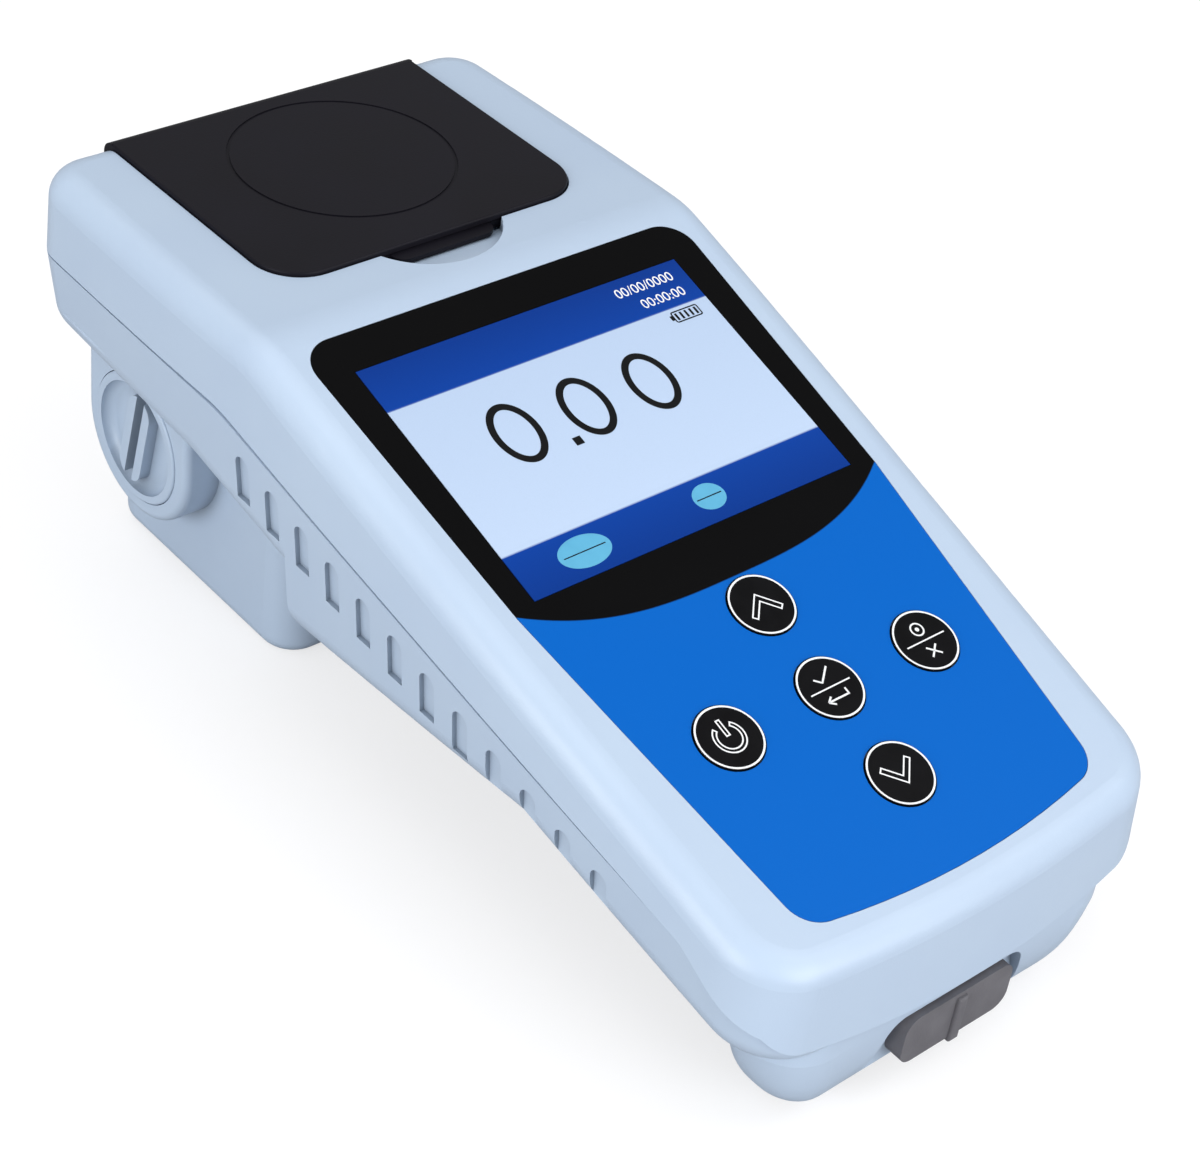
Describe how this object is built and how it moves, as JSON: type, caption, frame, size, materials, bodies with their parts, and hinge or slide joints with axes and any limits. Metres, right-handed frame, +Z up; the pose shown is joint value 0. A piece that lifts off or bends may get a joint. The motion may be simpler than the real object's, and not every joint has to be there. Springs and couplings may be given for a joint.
{
  "type": "portable turbidity meter",
  "caption": "Handheld turbidity meter with a hinged lid over a sample well, sloping display and keypad panel, optics pod, twist cap and rubber port plug.",
  "frame": {"origin": "middle of the footprint on the table, at the pod's and feet's underside", "axes": "+X to the user's right, +Y to the back where the lid hinges, +Z up"},
  "size_m": [0.0998, 0.203, 0.0807],
  "materials": {
    "casing_plastic": "fine satin moulded shell",
    "seal_rubber": "moulded seal",
    "screw_steel": "plain",
    "overlay_film": "printed film",
    "display_glass": "clear window",
    "lcd_body": "display module",
    "silicone": "moulded silicone",
    "board": "circuit board",
    "lid_plastic": "satin black moulding",
    "well_plastic": "matte black moulding",
    "lamp_glass": "clear",
    "detector_metal": "metal can",
    "cup_plastic": "moulded cup",
    "plug_rubber": "matte moulded rubber",
    "socket_steel": "plated",
    "tray_plastic": "moulded tray",
    "cell_jacket": "jacketed cell",
    "contact_steel": "plated spring steel",
    "key_plastic": "printed key face"
  },
  "bodies": {
    "casing": {"upper_casing": "casing_plastic", "lower_casing": "casing_plastic", "case_seal": "seal_rubber", "casing_screws": "screw_steel", "front_overlay": "overlay_film", "display_window": "display_glass", "lcd_module": "lcd_body", "keypad_mat": "silicone", "key_board": "board", "main_board": "board", "board_screws": "screw_steel", "hinge_pin": "screw_steel", "sample_well": "well_plastic", "well_gasket": "seal_rubber", "optics_block": "well_plastic", "light_source": "lamp_glass", "source_lens": "lamp_glass", "light_board": "board", "transmitted_detector": "detector_metal", "scatter_detector": "detector_metal", "sensor_board": "board", "desiccant_cup": "cup_plastic", "usb_socket": "socket_steel", "port_board": "board", "battery_cover": "casing_plastic", "battery_seal": "seal_rubber", "cover_screws": "screw_steel", "battery_tray": "tray_plastic", "battery_cells": "cell_jacket", "battery_contacts": "contact_steel"},
    "lid": {"lid_plate": "lid_plastic", "lid_frame": "lid_plastic", "lid_seal": "seal_rubber"},
    "twist_cap_body": {"twist_cap": "casing_plastic", "cap_ring": "seal_rubber"},
    "plug_body": {"port_plug": "plug_rubber"},
    "power_key": {"key_power": "key_plastic"},
    "up_key": {"key_up": "key_plastic"},
    "enter_key": {"key_enter": "key_plastic"},
    "down_key": {"key_down": "key_plastic"},
    "escape_key": {"key_escape": "key_plastic"}
  },
  "joints": [
    {"name": "lid_hinge", "type": "hinge", "parent": "casing", "child": "lid", "pos_m": [0, 0.0978, 0.0781], "axis": [-1, 0, 0], "range_deg": [0, 100]},
    {"name": "cap_turn", "type": "hinge", "parent": "casing", "child": "twist_cap_body", "pos_m": [-0.041, 0.0778, 0.031], "axis": [-1, 0, 0], "range_deg": [0, 90]},
    {"name": "plug_pull", "type": "slide", "parent": "casing", "child": "plug_body", "axis": [0, -1, 0], "range_m": [0, 0.012]},
    {"name": "power_key_press", "type": "slide", "parent": "casing", "child": "power_key", "axis": [0, 0.2857, -0.9583], "range_m": [0, 0.0005], "stiffness_N_per_m": 300},
    {"name": "up_key_press", "type": "slide", "parent": "casing", "child": "up_key", "axis": [0, 0.2857, -0.9583], "range_m": [0, 0.0005], "stiffness_N_per_m": 300},
    {"name": "enter_key_press", "type": "slide", "parent": "casing", "child": "enter_key", "axis": [0, 0.2857, -0.9583], "range_m": [0, 0.0005], "stiffness_N_per_m": 300},
    {"name": "down_key_press", "type": "slide", "parent": "casing", "child": "down_key", "axis": [0, 0.2857, -0.9583], "range_m": [0, 0.0005], "stiffness_N_per_m": 300},
    {"name": "escape_key_press", "type": "slide", "parent": "casing", "child": "escape_key", "axis": [0, 0.2857, -0.9583], "range_m": [0, 0.0005], "stiffness_N_per_m": 300}
  ]
}
